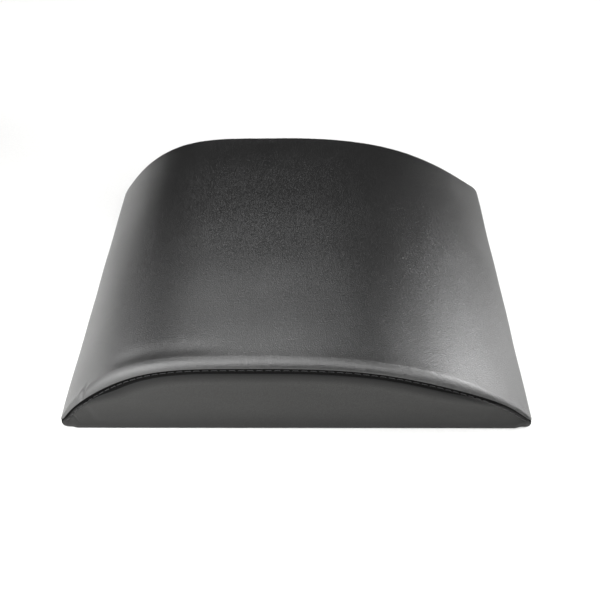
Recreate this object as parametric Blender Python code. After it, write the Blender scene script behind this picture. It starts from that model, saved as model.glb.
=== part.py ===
"""Arched ab mat: a foam core in a sewn leatherette cover with a zip low in the rear end."""
import math
from math import cos, pi, sin

import bmesh
import bpy
from mathutils import Vector

# Mat, in metres: X across the back, Y along the spine's width, Z up, origin under the middle of the base
MAT_WIDTH = 0.385
MAT_DEPTH = 0.320
MAT_HEIGHT = 0.080
CROWN_FROM_LEFT = 0.159
LEFT_ARCH_EXPONENT = 3.7
RIGHT_ARCH_EXPONENT = 2.9
TIP_RADIUS = 0.0075

# Cover
LEATHER = 0.0012
GAP = 0.0003
CROWN_ROLL_RADIUS = 0.006
TIP_ROLL_RADIUS = 0.002
ROLL_TURN = math.radians(135)
ROLL_SHARE_EXPONENT = 0.6
END_PANEL_RECESS = 0.0015
CROWN_SEAM_ALLOWANCE = 0.008
TIP_SEAM_ALLOWANCE = 0.002
UNDER_BEND_RADIUS = 0.0022
UNDER_FLAP_REACH = 0.012
CORE_EDGE_EASE = 0.002

# Stitches
STITCH_PITCH = 0.006
STITCH_WIDTH = 0.0008
STITCH_THICKNESS = 0.0006
SUNK_WIDTH = 0.0004
SUNK_THICKNESS = 0.0002
STITCH_FROM_SEAM = 0.0025
ZIP_STITCH_FROM_SEAM = 0.005

# Zip
ZIP_HEIGHT = 0.018
ZIP_WINDOW = 0.011
HEM_WIDTH = 0.007
TAPE_WIDTH = 0.0095
TAPE_THICKNESS = 0.0006
TAPE_END_INSET = 0.004
TOOTH_PITCH = 0.003
TOOTH_WIDTH = 0.0012
TOOTH_OVERLAP = 0.0008
TOOTH_REACH = 0.0020
CHAIN_WIDTH = 0.0056
CHAIN_THICKNESS = 0.0024
STOP_LENGTH = 0.0035
STOP_FROM_SEAM = 0.001
BOTTOM_STOP_FROM_SEAM = 0.012
STOP_THICKNESS = 0.0009

# Slider and its tab
SLIDER_LENGTH = 0.012
SLIDER_WALL = 0.0013
SLIDER_PLATE = 0.0012
SLIDER_TAIL_TAPER = 0.0007
POST_WIDTH = 0.0020
POST_LENGTH = 0.0022
BAIL_LENGTH = 0.0062
BAIL_WIDTH = 0.0020
BAIL_WIRE = 0.0006
BAIL_LEG = 0.0009
BAIL_OPENING = 0.0015
TAB_LENGTH = 0.023
TAB_WIDTH = 0.0052
TAB_THICKNESS = 0.0008
TAB_BAR = 0.0009
TAB_EYE_LENGTH = 0.0032
TAB_CORNER = 0.0015
SIDE_CLEARANCE = 0.0005

# Facets
ARCH_STEPS = 13
LOWER_TIP_STEPS = 4
UPPER_TIP_STEPS = 2
ROLL_STEPS = 6
BEND_STEPS = 4
SMOOTHED_UP_TO = math.radians(35)

HALF_WIDTH = MAT_WIDTH / 2
HALF_DEPTH = MAT_DEPTH / 2
CROWN_X = CROWN_FROM_LEFT - HALF_WIDTH
UNDER_EDGE_X = HALF_WIDTH - TIP_RADIUS
ARCH_RISE = MAT_HEIGHT - 2 * TIP_RADIUS

# Depths below the plane that an end's roll touches
PANEL_OUTER = END_PANEL_RECESS
PANEL_INNER = PANEL_OUTER + LEATHER
ALLOWANCE_OUTER = PANEL_INNER + GAP
ALLOWANCE_INNER = ALLOWANCE_OUTER + LEATHER
CORE_END = ALLOWANCE_INNER + GAP
HEM_INNER = PANEL_INNER + LEATHER + GAP
TAPE_OUTER = HEM_INNER + GAP
TAPE_INNER = TAPE_OUTER + TAPE_THICKNESS
CHAIN_MIDDLE = (TAPE_OUTER + TAPE_INNER) / 2
CHAIN_OUTER = CHAIN_MIDDLE - CHAIN_THICKNESS / 2
CHAIN_INNER = CHAIN_MIDDLE + CHAIN_THICKNESS / 2
SLIDER_OUTER = CHAIN_OUTER - GAP - SLIDER_PLATE
SLIDER_INNER = CHAIN_INNER + GAP + SLIDER_PLATE
TAB_DEPTH = SLIDER_OUTER - BAIL_OPENING / 2

WINDOW_BOTTOM = ZIP_HEIGHT - ZIP_WINDOW / 2
WINDOW_TOP = ZIP_HEIGHT + ZIP_WINDOW / 2
TAPE_EDGE = CHAIN_WIDTH / 2 + GAP
SLIDER_HALF_WIDTH = TAPE_EDGE + SLIDER_WALL

BLACK_LEATHER = ("black_leatherette", (0.022, 0.022, 0.023), 0.42, 0.0)
END_LEATHER = ("end_leatherette", (0.045, 0.045, 0.046), 0.55, 0.0)
THREAD = ("black_thread", (0.012, 0.012, 0.012), 0.8, 0.0)
FOAM = ("grey_foam", (0.19, 0.20, 0.21), 0.95, 0.0)
TAPE = ("zip_tape", (0.015, 0.015, 0.016), 0.85, 0.0)
TEETH = ("zip_teeth", (0.02, 0.02, 0.02), 0.4, 0.0)
METAL = ("black_metal", (0.05, 0.05, 0.055), 0.35, 0.9)


class Station:
    """One place along the arch: a point of its inner curve, the way out and how high it lies (0 to 1)."""

    def __init__(self, x, z, outX, outZ, rise):
        self.x = x
        self.z = z
        self.outX = outX
        self.outZ = outZ
        share = rise ** ROLL_SHARE_EXPONENT
        self.roll = TIP_ROLL_RADIUS + (CROWN_ROLL_RADIUS - TIP_ROLL_RADIUS) * share
        self.seam = self.roll * (1 - cos(ROLL_TURN))
        self.allowance = TIP_SEAM_ALLOWANCE + (CROWN_SEAM_ALLOWANCE - TIP_SEAM_ALLOWANCE) * share

    def inset(self, inward):
        """The point that lies this far inside the mat's outer surface."""
        reach = TIP_RADIUS - inward
        return self.x + self.outX * reach, self.z + self.outZ * reach


def archStation(along):
    """A station on the arch, from -1 at the left tip through 0 at the crown to 1 at the right tip."""
    left = along < 0
    exponent = LEFT_ARCH_EXPONENT if left else RIGHT_ARCH_EXPONENT
    edge = -UNDER_EDGE_X if left else UNDER_EDGE_X
    run = abs(edge - CROWN_X)
    rise = 1 - abs(along) ** exponent
    slope = ARCH_RISE * exponent * abs(along) ** (exponent - 1) / run * (1 if left else -1)
    length = math.hypot(slope, 1)
    x = CROWN_X + abs(along) * (edge - CROWN_X)
    return Station(x, TIP_RADIUS + ARCH_RISE * rise, -slope / length, 1 / length, rise)


def archStations(steps):
    """Stations from the left tip's lowest point over the arch to the right tip's lowest point."""
    arch = [archStation(sin(pi / 2 * (step / steps - 1))) for step in range(2 * steps + 1)]
    leftAngle = math.atan2(arch[0].outZ, arch[0].outX)
    rightAngle = math.atan2(arch[-1].outZ, arch[-1].outX)

    def tip(x, start, end, steps):
        angles = [start + (end - start) * step / steps for step in range(steps)]
        return [Station(x, TIP_RADIUS, cos(angle), sin(angle), 0) for angle in angles]

    left = tip(-UNDER_EDGE_X, -pi / 2, -pi, LOWER_TIP_STEPS)
    left += tip(-UNDER_EDGE_X, pi, leftAngle, UPPER_TIP_STEPS)
    right = tip(UNDER_EDGE_X, -pi / 2, 0, LOWER_TIP_STEPS)
    right += tip(UNDER_EDGE_X, 0, rightAngle, UPPER_TIP_STEPS)
    return left + arch + right[::-1]


STATIONS = archStations(ARCH_STEPS)


def insetCurve(inward):
    """The arch's outline moved inward, by a distance or by a function of the station."""
    return [station.inset(inward(station) if callable(inward) else inward) for station in STATIONS]


def crossing(curve, height, side):
    """X where an outline of the arch passes a height, on the left (-1) or the right (1)."""
    points = curve if side < 0 else curve[::-1]
    for (x0, z0), (x1, z1) in zip(points, points[1:]):
        if z0 <= height < z1:
            return x0 + (x1 - x0) * (height - z0) / (z1 - z0)
    raise ValueError("height outside the arch")


def reachAt(curve, height, side):
    """X of an outline at a height, or below the middle of the tips that of the under edge."""
    return crossing(curve, height, side) if height > TIP_RADIUS else side * (UNDER_EDGE_X - GAP)


def above(curve, height):
    """The outline above a height, closed along it."""
    ends = [(crossing(curve, height, side), height) for side in (-1, 1)]
    return [ends[0]] + [point for point in curve if point[1] > height] + [ends[1]]


def seamEdge(station):
    return station.seam + GAP


def behindAllowance(station):
    return station.seam + station.allowance + GAP


def material(look):
    name, colour, roughness, metallic = look
    made = bpy.data.materials.get(name)
    if made is None:
        made = bpy.data.materials.new(name)
        made.use_nodes = True
        shader = made.node_tree.nodes["Principled BSDF"]
        shader.inputs["Base Color"].default_value = (*colour, 1)
        shader.inputs["Roughness"].default_value = roughness
        shader.inputs["Metallic"].default_value = metallic
        made.diffuse_color = (*colour, 1)
    return made


def finished(name, mesh, look):
    """An object from a bmesh, faces out and shaded smooth between sharp edges."""
    bmesh.ops.recalc_face_normals(mesh, faces=mesh.faces)
    data = bpy.data.meshes.new(name)
    mesh.to_mesh(data)
    mesh.free()
    data.materials.append(material(look))
    data.shade_smooth()
    data.set_sharp_from_angle(angle=SMOOTHED_UP_TO)
    made = bpy.data.objects.new(name, data)
    bpy.context.collection.objects.link(made)
    return made


def lofted(mesh, rings):
    """A closed body through rings of as many points each, with flat ends."""
    rows = [[mesh.verts.new(point) for point in ring] for ring in rings]
    count = len(rows[0])
    for row, after in zip(rows, rows[1:]):
        for i in range(count):
            j = (i + 1) % count
            mesh.faces.new((row[i], row[j], after[j], after[i]))
    mesh.faces.new(rows[0][::-1])
    mesh.faces.new(rows[-1])


def prism(mesh, outline, near, far):
    """A closed body between two copies of an outline, made by the functions near and far."""
    lofted(mesh, [[near(*point) for point in outline], [far(*point) for point in outline]])


def endPoint(side, depth):
    """Places an (x, z) point at a depth below the front (-1) or rear (1) end's plane."""
    return lambda x, z: (x, side * (HALF_DEPTH - depth), z)


def block(mesh, low, high):
    outline = ((low[0], low[1]), (high[0], low[1]), (high[0], high[1]), (low[0], high[1]))
    prism(mesh, outline, lambda x, y: (x, y, low[2]), lambda x, y: (x, y, high[2]))


def cutter(name, mesh):
    made = finished(name, mesh, FOAM)
    made.hide_render = True
    made.display_type = "WIRE"
    return made


def booleaned(made, operation, tools):
    for tool in tools:
        change = made.modifiers.new(tool.name, "BOOLEAN")
        change.operation = operation
        change.object = tool
        change.solver = "EXACT"


def rollSection(station):
    """The top panel's cut edge at one end: (depth, inset) from the outside round the roll to the inside."""
    roll = station.roll
    inner = roll - LEATHER
    turnIn = station.seam - LEATHER
    innerTurn = math.acos((roll - turnIn) / inner)
    steps = range(ROLL_STEPS + 1)
    outside = [ROLL_TURN * step / ROLL_STEPS for step in steps]
    inside = [innerTurn * (1 - step / ROLL_STEPS) for step in steps]
    section = [(roll - roll * sin(turn), roll - roll * cos(turn)) for turn in outside]
    section += [
        (ALLOWANCE_OUTER, station.seam),
        (ALLOWANCE_OUTER, station.seam + station.allowance),
        (ALLOWANCE_INNER, station.seam + station.allowance),
        (ALLOWANCE_INNER, turnIn),
    ]
    section += [(roll - inner * sin(turn), roll - inner * cos(turn)) for turn in inside]
    return section


def topPanel():
    """Leatherette over the arch, rolled over both ends and turned in behind the end panels."""
    mesh = bmesh.new()
    rings = []
    for station in STATIONS:
        ring = []
        for side in (-1, 1):
            section = rollSection(station)
            for depth, inward in section if side > 0 else section[::-1]:
                x, z = station.inset(inward)
                ring.append((x, side * (HALF_DEPTH - depth), z))
        rings.append(ring)
    lofted(mesh, rings)
    return finished("top_panel", mesh, BLACK_LEATHER)


def bentUnder(mesh, side):
    """Carries an end panel's lower edge round under the mat and inboard as a flap."""
    bottom = [
        face for face in mesh.faces
        if all(abs(vert.co.z - UNDER_BEND_RADIUS) < GAP / 10 for vert in face.verts)
    ][0]
    centre = Vector((0, side * (HALF_DEPTH - PANEL_OUTER - UNDER_BEND_RADIUS), UNDER_BEND_RADIUS))

    def carried(face):
        grown = bmesh.ops.extrude_face_region(mesh, geom=[face])["geom"]
        faces = [part for part in grown if isinstance(part, bmesh.types.BMFace)]
        if face.is_valid:
            bmesh.ops.delete(mesh, geom=[face], context="FACES_ONLY")
        return faces[0]

    for step in range(BEND_STEPS):
        bottom = carried(bottom)
        for vert in bottom.verts:
            spot = vert.co - centre
            turn = pi / 2 / BEND_STEPS * -side
            y = spot.y * cos(turn) - spot.z * sin(turn)
            z = spot.y * sin(turn) + spot.z * cos(turn)
            vert.co = centre + Vector((spot.x, y, z))
    bottom = carried(bottom)
    run = UNDER_FLAP_REACH - PANEL_OUTER - UNDER_BEND_RADIUS
    for vert in bottom.verts:
        vert.co.y -= side * run


def endPlate(mesh, side, outline):
    prism(mesh, outline, endPoint(side, PANEL_OUTER), endPoint(side, PANEL_INNER))


def lowerEdge():
    """The straight lower edge of an end panel, between the places where the top panel ends."""
    edge = UNDER_EDGE_X - GAP
    low = insetCurve(seamEdge)[0][1]
    return [(edge, low), (edge, UNDER_BEND_RADIUS), (-edge, UNDER_BEND_RADIUS), (-edge, low)]


def frontEndPanel():
    mesh = bmesh.new()
    endPlate(mesh, -1, insetCurve(seamEdge) + lowerEdge())
    bentUnder(mesh, -1)
    return finished("front_end_panel", mesh, END_LEATHER)


def hem(name, low, high):
    """The folded edge of the leatherette beside the zip, between two heights and inside the allowances."""
    inner = insetCurve(behindAllowance)
    places = ((low, -1), (low, 1), (high, 1), (high, -1))
    corners = [(reachAt(inner, height, side), height) for height, side in places]
    mesh = bmesh.new()
    prism(mesh, corners, endPoint(1, PANEL_OUTER + LEATHER / 2), endPoint(1, HEM_INNER))
    return cutter(name, mesh)


def rearEndPanel():
    """The rear end above the zip, with its lower edge folded under as a hem."""
    mesh = bmesh.new()
    endPlate(mesh, 1, above(insetCurve(seamEdge), WINDOW_TOP))
    made = finished("rear_end_panel", mesh, END_LEATHER)
    booleaned(made, "UNION", [hem("upper_hem", WINDOW_TOP, WINDOW_TOP + HEM_WIDTH)])
    return made


def rearZipStrip():
    """The strip below the zip, turned under the mat like the front panel."""
    curve = insetCurve(seamEdge)
    left = [point for point in curve if point[1] < WINDOW_BOTTOM and point[0] < CROWN_X]
    right = [point for point in curve if point[1] < WINDOW_BOTTOM and point[0] > CROWN_X]
    across = [(crossing(curve, WINDOW_BOTTOM, side), WINDOW_BOTTOM) for side in (-1, 1)]
    mesh = bmesh.new()
    endPlate(mesh, 1, left + across + right + lowerEdge())
    bentUnder(mesh, 1)
    made = finished("rear_zip_strip", mesh, END_LEATHER)
    booleaned(made, "UNION", [hem("lower_hem", WINDOW_BOTTOM - HEM_WIDTH, WINDOW_BOTTOM)])
    return made


def basePanel():
    """Flat leatherette under the mat, between the turned-under edges of the other panels."""
    mesh = bmesh.new()
    x = UNDER_EDGE_X - GAP
    y = HALF_DEPTH - UNDER_FLAP_REACH - GAP
    block(mesh, (-x, -y, 0), (x, y, LEATHER))
    return finished("base_panel", mesh, BLACK_LEATHER)


def zipGrooves():
    """Room in the foam's rear end for the tapes, and a deeper channel for the slider's inner plate."""
    tapes = bmesh.new()
    reach = TAPE_EDGE + TAPE_WIDTH + GAP
    rear = HALF_DEPTH
    low = (-HALF_WIDTH, rear - TAPE_INNER - GAP, ZIP_HEIGHT - reach)
    block(tapes, low, (HALF_WIDTH, rear, ZIP_HEIGHT + reach))
    channel = bmesh.new()
    reach = SLIDER_HALF_WIDTH + SIDE_CLEARANCE
    low = (-HALF_WIDTH, rear - SLIDER_INNER - GAP, ZIP_HEIGHT - reach)
    block(channel, low, (HALF_WIDTH, rear, ZIP_HEIGHT + reach))
    return [cutter("tape_groove", tapes), cutter("slider_channel", channel)]


def foamCore():
    """One block of foam with the arch's shape, its end edges eased to fill the cover's rolls."""
    inner = LEATHER + GAP

    def endInset(station):
        fill = station.roll - inner
        behind = station.roll - CORE_END
        return station.roll - math.sqrt(fill ** 2 - behind ** 2) if behind > 0 else inner

    mesh = bmesh.new()
    rings = []
    for side in (-1, 1):
        ends = [
            [endPoint(side, CORE_END)(*point) for point in insetCurve(endInset)],
            [endPoint(side, CORE_END + CORE_EDGE_EASE)(*point) for point in insetCurve(inner)],
        ]
        rings += ends if side < 0 else ends[::-1]
    lofted(mesh, rings)
    made = finished("foam_core", mesh, FOAM)
    booleaned(made, "DIFFERENCE", zipGrooves())
    return made


def placeAlong(path, distance):
    """The point at a distance along a polyline, and the direction there."""
    for (x0, z0), (x1, z1) in zip(path, path[1:]):
        run = math.hypot(x1 - x0, z1 - z0)
        if distance <= run:
            break
        distance -= run
    share = distance / run
    return (x0 + (x1 - x0) * share, z0 + (z1 - z0) * share), ((x1 - x0) / run, (z1 - z0) / run)


def threadRow(name, side, path):
    """One thread on an end panel: it swells at each stitch and sinks between them."""
    total = sum(math.dist(a, b) for a, b in zip(path, path[1:]))
    count = int(total / STITCH_PITCH)
    first = (total - count * STITCH_PITCH) / 2
    foot = PANEL_OUTER - GAP
    rings = []
    for half in range(2 * count + 1):
        width, height = (STITCH_WIDTH, STITCH_THICKNESS) if half % 2 else (SUNK_WIDTH, SUNK_THICKNESS)
        (x, z), (alongX, alongZ) = placeAlong(path, first + half * STITCH_PITCH / 2)
        sides = [(x + way * alongZ * width / 2, z - way * alongX * width / 2) for way in (-1, 1)]
        low, high = (endPoint(side, depth) for depth in (foot, foot - height))
        rings.append([low(*sides[0]), low(*sides[1]), high(*sides[1]), high(*sides[0])])
    mesh = bmesh.new()
    lofted(mesh, rings)
    return finished(name, mesh, THREAD)


def archThread(name, side, lowest):
    """The row of stitches beside an arch seam, down to a height."""
    row = insetCurve(lambda station: seamEdge(station) + STITCH_FROM_SEAM)
    return threadRow(name, side, above(row, lowest))


def zipThread(name, height):
    """A row of stitches beside the zip, which holds a tape to its hem."""
    ends = insetCurve(lambda station: seamEdge(station) + ZIP_STITCH_FROM_SEAM)
    return threadRow(name, 1, [(crossing(ends, height, side), height) for side in (-1, 1)])


def zipTape(name, way):
    """A woven tape behind the hem, above (1) or below (-1) the chain."""
    near = ZIP_HEIGHT + way * TAPE_EDGE
    far = near + way * TAPE_WIDTH
    ends = insetCurve(TAPE_END_INSET)
    places = ((near, -1), (near, 1), (far, 1), (far, -1))
    corners = [(reachAt(ends, height, side), height) for height, side in places]
    mesh = bmesh.new()
    prism(mesh, corners, endPoint(1, TAPE_OUTER), endPoint(1, TAPE_INNER))
    return finished(name, mesh, TAPE)


def chainEnd(side):
    """X where the chain and its slider meet the arch seam's allowance."""
    return crossing(insetCurve(behindAllowance), ZIP_HEIGHT + SLIDER_HALF_WIDTH, side)


TOP_STOP_END = chainEnd(1) - STOP_FROM_SEAM
SLIDER_X = TOP_STOP_END - SLIDER_LENGTH / 2
BOTTOM_STOP_X = chainEnd(-1) + BOTTOM_STOP_FROM_SEAM
SLIDER_TRAVEL = SLIDER_X - SLIDER_LENGTH / 2 - BOTTOM_STOP_X - STOP_LENGTH / 2 - GAP
POST_X = TOP_STOP_END - STOP_LENGTH / 2
TEETH_START = chainEnd(-1) + STOP_FROM_SEAM
TEETH_END = TOP_STOP_END - STOP_LENGTH - GAP


def zipTeeth(name, way):
    """A row of teeth on its bead, counted from the top stop. They stand between those of the other row."""
    mesh = bmesh.new()
    outer = ZIP_HEIGHT + way * CHAIN_WIDTH / 2
    root = ZIP_HEIGHT + way * (CHAIN_WIDTH / 2 - TOOTH_REACH + TOOTH_OVERLAP)
    tip = ZIP_HEIGHT - way * TOOTH_OVERLAP
    first = TEETH_END - TOOTH_WIDTH - (TOOTH_PITCH / 2 if way < 0 else 0)
    count = int((first - TEETH_START - GAP) / TOOTH_PITCH) + 1
    outline = [(TEETH_END, outer)] if way > 0 else [(TEETH_END, outer), (TEETH_END, root)]
    for i in range(count):
        x = first - i * TOOTH_PITCH
        if i or way < 0:
            outline.append((x + TOOTH_WIDTH, root))
        outline += [(x + TOOTH_WIDTH, tip), (x, tip), (x, root)]
    outline += [(TEETH_START, root), (TEETH_START, outer)]
    prism(mesh, outline, endPoint(1, CHAIN_OUTER), endPoint(1, CHAIN_INNER))
    return finished(name, mesh, TEETH)


def zipTopStop(name, way):
    """A small metal stop on a tape's edge, beyond the last tooth."""
    mesh = bmesh.new()
    inner = ZIP_HEIGHT + way * (POST_WIDTH / 2 + GAP)
    outer = ZIP_HEIGHT + way * CHAIN_WIDTH / 2
    low = (TOP_STOP_END - STOP_LENGTH, HALF_DEPTH - CHAIN_INNER, min(inner, outer))
    block(mesh, low, (TOP_STOP_END, HALF_DEPTH - CHAIN_OUTER, max(inner, outer)))
    return finished(name, mesh, METAL)


def zipBottomStop():
    """A staple across both rows of teeth."""
    mesh = bmesh.new()
    half = CHAIN_WIDTH / 2
    inner = HALF_DEPTH - CHAIN_OUTER + GAP
    low = (BOTTOM_STOP_X - STOP_LENGTH / 2, inner, ZIP_HEIGHT - half)
    high = (BOTTOM_STOP_X + STOP_LENGTH / 2, inner + STOP_THICKNESS, ZIP_HEIGHT + half)
    block(mesh, low, high)
    return finished("zip_bottom_stop", mesh, METAL)


def channel(name, outer, inner, lip):
    """One of the slider's plates with its two side walls, narrower towards the tail."""
    wall = SLIDER_HALF_WIDTH - SLIDER_WALL
    section = [
        (outer, -1, SLIDER_HALF_WIDTH), (outer, 1, SLIDER_HALF_WIDTH), (lip, 1, SLIDER_HALF_WIDTH),
        (lip, 1, wall), (inner, 1, wall), (inner, -1, wall), (lip, -1, wall), (lip, -1, SLIDER_HALF_WIDTH),
    ]
    rings = []
    for x, taper in ((-SLIDER_LENGTH / 2, SLIDER_TAIL_TAPER), (0, 0), (SLIDER_LENGTH / 2, 0)):
        rings.append([
            (x, HALF_DEPTH - depth, ZIP_HEIGHT + way * (half - taper * (half == SLIDER_HALF_WIDTH)))
            for depth, way, half in section
        ])
    mesh = bmesh.new()
    lofted(mesh, rings)
    for vert in mesh.verts:
        vert.co.x += SLIDER_X
    return finished(name, mesh, METAL) if name == "zip_slider" else cutter(name, mesh)


def zipSlider():
    """Two plates round the chain, the post that joins them between the rows, and the bail for the tab."""
    outer = channel("zip_slider", SLIDER_OUTER, SLIDER_OUTER + SLIDER_PLATE, TAPE_OUTER - GAP)
    inner = channel("inner_plate", SLIDER_INNER, SLIDER_INNER - SLIDER_PLATE, TAPE_INNER + GAP)
    post = bmesh.new()
    rear = HALF_DEPTH
    half = POST_WIDTH / 2
    sunk = SLIDER_PLATE / 2
    low = (POST_X - POST_LENGTH / 2, rear - SLIDER_INNER + sunk, ZIP_HEIGHT - half)
    block(post, low, (POST_X + POST_LENGTH / 2, rear - SLIDER_OUTER - sunk, ZIP_HEIGHT + half))
    bail = bmesh.new()
    end = BAIL_LENGTH / 2
    foot = SLIDER_OUTER + sunk
    crest = SLIDER_OUTER - BAIL_OPENING - BAIL_WIRE
    under = crest + BAIL_WIRE
    leg = end - BAIL_LEG
    outline = (
        (-end, foot), (-end, crest), (end, crest), (end, foot),
        (leg, foot), (leg, under), (-leg, under), (-leg, foot),
    )
    prism(
        bail, outline,
        lambda x, depth: (SLIDER_X + x, rear - depth, ZIP_HEIGHT - BAIL_WIDTH / 2),
        lambda x, depth: (SLIDER_X + x, rear - depth, ZIP_HEIGHT + BAIL_WIDTH / 2),
    )
    booleaned(outer, "UNION", [cutter("post", post), inner, cutter("bail", bail)])
    return outer


def zipPullTab():
    """A tab whose cross bar turns under the bail; it lies flat along the closed chain."""
    half = TAB_WIDTH / 2
    mesh = bmesh.new()
    free = -TAB_LENGTH + TAB_BAR / 2
    outline = [
        (TAB_BAR / 2, -half), (TAB_BAR / 2, half), (free + TAB_CORNER, half), (free, half - TAB_CORNER),
        (free, TAB_CORNER - half), (free + TAB_CORNER, -half),
    ]
    prism(
        mesh, outline,
        lambda x, z: (x, -TAB_THICKNESS / 2, z), lambda x, z: (x, TAB_THICKNESS / 2, z),
    )
    made = finished("zip_pull_tab", mesh, METAL)
    eye = bmesh.new()
    side = BAIL_WIDTH / 2 + SIDE_CLEARANCE
    low = (-TAB_BAR / 2 - TAB_EYE_LENGTH, -TAB_THICKNESS, -side)
    block(eye, low, (-TAB_BAR / 2, TAB_THICKNESS, side))
    hole = cutter("tab_eye", eye)
    booleaned(made, "DIFFERENCE", [hole])
    for part in (made, hole):
        part.location = (SLIDER_X, HALF_DEPTH - TAB_DEPTH, ZIP_HEIGHT)
    return made


def main():
    for old in list(bpy.data.objects):
        bpy.data.objects.remove(old, do_unlink=True)
    foamCore()
    topPanel()
    frontEndPanel()
    rearEndPanel()
    rearZipStrip()
    basePanel()
    archThread("front_topstitch", -1, TIP_RADIUS)
    archThread("rear_topstitch", 1, WINDOW_TOP + STITCH_FROM_SEAM + STITCH_PITCH)
    for place, way, edge in (("upper", 1, WINDOW_TOP), ("lower", -1, WINDOW_BOTTOM)):
        zipThread("zip_topstitch_" + place, edge + way * STITCH_FROM_SEAM)
        zipTape("zip_tape_" + place, way)
        zipTeeth("zip_teeth_" + place, way)
        zipTopStop("zip_top_stop_" + place, way)
    zipBottomStop()
    zipSlider()
    zipPullTab()
    print("slider hinge", round(SLIDER_X, 5), round(HALF_DEPTH - TAB_DEPTH, 5), ZIP_HEIGHT)
    print("slider travel", round(SLIDER_TRAVEL, 5))


main()
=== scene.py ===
from math import cos, pi, radians, sin

import bmesh
import bpy
import numpy as np
from mathutils import Matrix, Vector


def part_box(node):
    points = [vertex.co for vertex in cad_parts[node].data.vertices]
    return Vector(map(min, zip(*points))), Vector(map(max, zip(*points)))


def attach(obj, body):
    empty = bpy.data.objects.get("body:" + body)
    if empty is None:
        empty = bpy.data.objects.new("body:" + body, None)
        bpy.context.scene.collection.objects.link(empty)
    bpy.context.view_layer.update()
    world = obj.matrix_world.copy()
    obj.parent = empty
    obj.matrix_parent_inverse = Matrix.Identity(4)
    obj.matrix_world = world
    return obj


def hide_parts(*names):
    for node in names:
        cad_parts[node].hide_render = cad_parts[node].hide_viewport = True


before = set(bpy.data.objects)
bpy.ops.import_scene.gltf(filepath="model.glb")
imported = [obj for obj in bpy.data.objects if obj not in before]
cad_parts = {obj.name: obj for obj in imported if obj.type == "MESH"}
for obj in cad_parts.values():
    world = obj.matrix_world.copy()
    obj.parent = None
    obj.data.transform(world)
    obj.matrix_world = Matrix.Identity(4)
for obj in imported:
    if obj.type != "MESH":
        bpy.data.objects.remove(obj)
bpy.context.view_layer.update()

# Everything is in metres. The measures down to the leather repeat those of the part, and those of the
# corners below are the scene's own.
mat = {
    "width": 0.385,
    "depth": 0.320,
    "height": 0.080,
    "crownX": -0.0335,
    "leftExponent": 3.7,
    "rightExponent": 2.9,
    "tipRadius": 0.0075,
    "leather": 0.0012,
    "leftTipPower": 2.8,
    "rightTipPower": 4.0,
    "rearCorner": 0.008,
    "turnsDownOver": 0.006,
}
halfWidth, halfDepth, tipRadius = mat["width"] / 2, mat["depth"] / 2, mat["tipRadius"]
tipX = halfWidth - tipRadius

# The rolled edge, and the seam it hides
seam = {
    "crownRoll": 0.0081,
    "tipRoll": 0.0024,
    "grownOver": 0.12,
    "crownInset": 0.0073,
    "tipInset": 0.0022,
    "leftStart": 0.0,
    "rightStart": 0.15,
    "fullAt": 0.83,
    "runsOutBelow": 0.015,
    "gone": 0.004,
    "tipSetBack": 0.0023,
    "forward": 0.0004,
    "start": 0.010,
    "allowance": 0.007,
    "allowanceDepth": 0.0045,
}

# Samples on the arch and round each tip, and how much closer they lie where the arch is low
sampling = {"arch": 2001, "tip": 301, "closer": 1.6, "lowShare": 0.12}
samePoint = 1e-6  # points nearer to each other than this are one point


def smooth(value, low=0.0, high=1.0):
    # 3t^2 - 2t^3 between two limits, flat outside them
    t = np.clip((value - low) / (high - low), 0, 1)
    return t * t * (3 - 2 * t)


def bell(value, middle, width):
    # exp(-((v - middle) / width)^2)
    return np.exp(-(((value - middle) / width) ** 2))


def waves(along, across, seed, count, longest, shortest):
    # A sum of sines with seeded directions, lengths and phases, scaled to lie within about -1 and 1
    rng = np.random.default_rng(seed)
    total = np.zeros(np.broadcast(along, across).shape)
    turns, phases, places = rng.uniform(0, pi, count), rng.uniform(0, 2 * pi, count), rng.random(count)
    for turn, phase, place in zip(turns, phases, places):
        length = longest * (shortest / longest) ** place
        total = total + np.sin(2 * pi * (along * cos(turn) + across * sin(turn)) / length + phase)
    return total / count ** 0.5 / 1.5


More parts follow.
